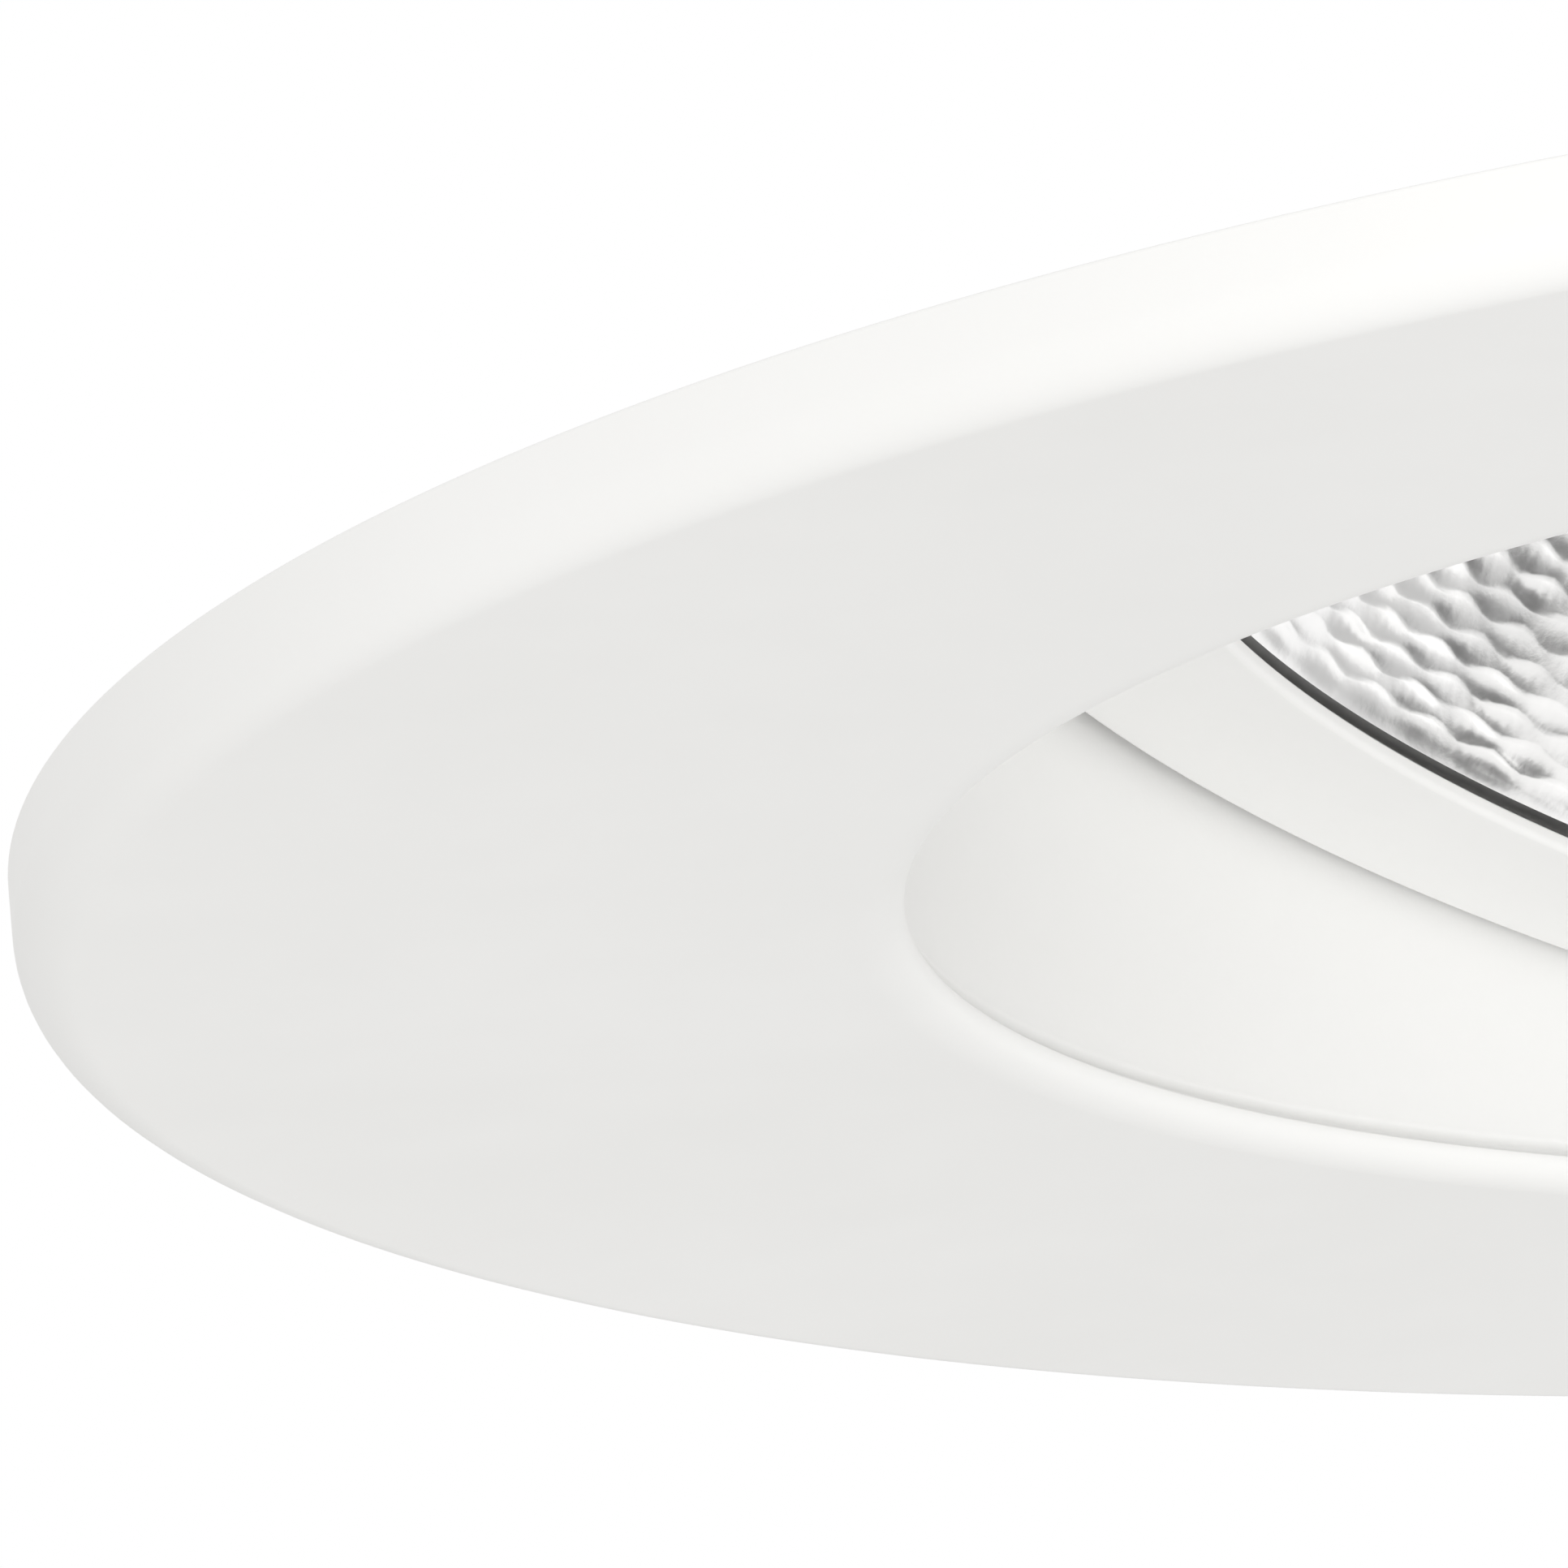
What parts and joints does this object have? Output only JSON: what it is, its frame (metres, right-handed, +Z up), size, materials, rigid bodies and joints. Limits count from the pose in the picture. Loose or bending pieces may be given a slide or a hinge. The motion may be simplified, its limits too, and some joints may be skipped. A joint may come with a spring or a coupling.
{
  "type": "recessed adjustable ceiling downlight",
  "caption": "Round white ceiling downlight with a hammered reflector, a turning and tilting lamp unit, a finned heat sink and spring clips.",
  "frame": {"origin": "centre of the ceiling cut-out, in the plane of the ceiling's underside, where the trim's back rests", "axes": "+Z up into the ceiling void, -Z into the room; +X and +Y lie in the ceiling; the lamp unit is aimed so that it leans towards +X, 17 degrees round towards +Y"},
  "size_m": [0.18, 0.18, 0.1116],
  "materials": {
    "white_coat": "matt white powder coat",
    "gasket_foam": "closed-cell foam",
    "nylon": "moulded nylon",
    "zinc_plate": "bright zinc plate",
    "spring_wire": "drawn spring wire",
    "clip_foot": "moulded",
    "reflector_metal": "hammered and polished",
    "housing_coat": "fine texture black coat",
    "cast_aluminium": "die-cast, as blasted",
    "led_ceramic": "white ceramic",
    "led_phosphor": "silicone and phosphor",
    "holder_plastic": "moulded",
    "thermal_pad": "soft pad",
    "grommet_rubber": "moulded",
    "screw_steel": "zinc plate"
  },
  "bodies": {
    "ceiling_trim": {"trim_ring": "white_coat", "ceiling_gasket": "gasket_foam", "glide_ring": "nylon", "mounting_ring": "zinc_plate", "swivel_stop_pin": "screw_steel", "mounting_screw_1": "screw_steel", "mounting_screw_2": "screw_steel", "mounting_screw_3": "screw_steel", "clip_bracket_1": "zinc_plate", "clip_bracket_2": "zinc_plate", "clip_bracket_3": "zinc_plate", "clip_screw_1": "screw_steel", "clip_screw_2": "screw_steel", "clip_screw_3": "screw_steel", "clip_pin_1": "screw_steel", "clip_pin_2": "screw_steel", "clip_pin_3": "screw_steel", "clip_spring_1": "spring_wire", "clip_spring_2": "spring_wire", "clip_spring_3": "spring_wire"},
    "swivel": {"swivel_ring": "white_coat", "pivot_washer_1": "nylon", "pivot_washer_2": "nylon"},
    "lamp_unit": {"gimbal_ring": "white_coat", "pivot_screw_1": "screw_steel", "pivot_screw_2": "screw_steel", "reflector": "reflector_metal", "lamp_housing": "housing_coat", "housing_screw_1": "screw_steel", "housing_screw_2": "screw_steel", "housing_screw_3": "screw_steel", "cable_grommet": "grommet_rubber", "heat_sink": "cast_aluminium", "sink_screw_1": "screw_steel", "sink_screw_2": "screw_steel", "sink_screw_3": "screw_steel", "thermal_pad": "thermal_pad", "led_board": "led_ceramic", "led_emitter": "led_phosphor", "led_holder": "holder_plastic", "led_screw_1": "screw_steel", "led_screw_2": "screw_steel"},
    "clip_1": {"clip_arm_1": "zinc_plate", "clip_foot_1": "clip_foot"},
    "clip_2": {"clip_arm_2": "zinc_plate", "clip_foot_2": "clip_foot"},
    "clip_3": {"clip_arm_3": "zinc_plate", "clip_foot_3": "clip_foot"}
  },
  "joints": [
    {"name": "swivel_turn", "type": "hinge", "parent": "ceiling_trim", "child": "swivel", "pos_m": [0, 0, 0], "axis": [0, 0, 1], "range_deg": [-177.5, 177.5]},
    {"name": "lamp_tilt", "type": "hinge", "parent": "swivel", "child": "lamp_unit", "pos_m": [0, 0, 0.005], "axis": [-0.2924, 0.9563, 0], "range_deg": [-14, 16]},
    {"name": "clip_fold_1", "type": "hinge", "parent": "ceiling_trim", "child": "clip_1", "pos_m": [0.06149, 0.0355, 0.012], "axis": [0.5, -0.866, 0], "range_deg": [0, 105], "stiffness_Nm_per_rad": 0.02, "springref_deg": -85.94, "deforming": ["clip_spring_1"]},
    {"name": "clip_fold_2", "type": "hinge", "parent": "ceiling_trim", "child": "clip_2", "pos_m": [-0.06149, 0.0355, 0.012], "axis": [0.5, 0.866, 0], "range_deg": [0, 105], "stiffness_Nm_per_rad": 0.02, "springref_deg": -85.94, "deforming": ["clip_spring_2"]},
    {"name": "clip_fold_3", "type": "hinge", "parent": "ceiling_trim", "child": "clip_3", "pos_m": [0, -0.071, 0.012], "axis": [-1, 0, 0], "range_deg": [0, 105], "stiffness_Nm_per_rad": 0.02, "springref_deg": -85.94, "deforming": ["clip_spring_3"]}
  ]
}
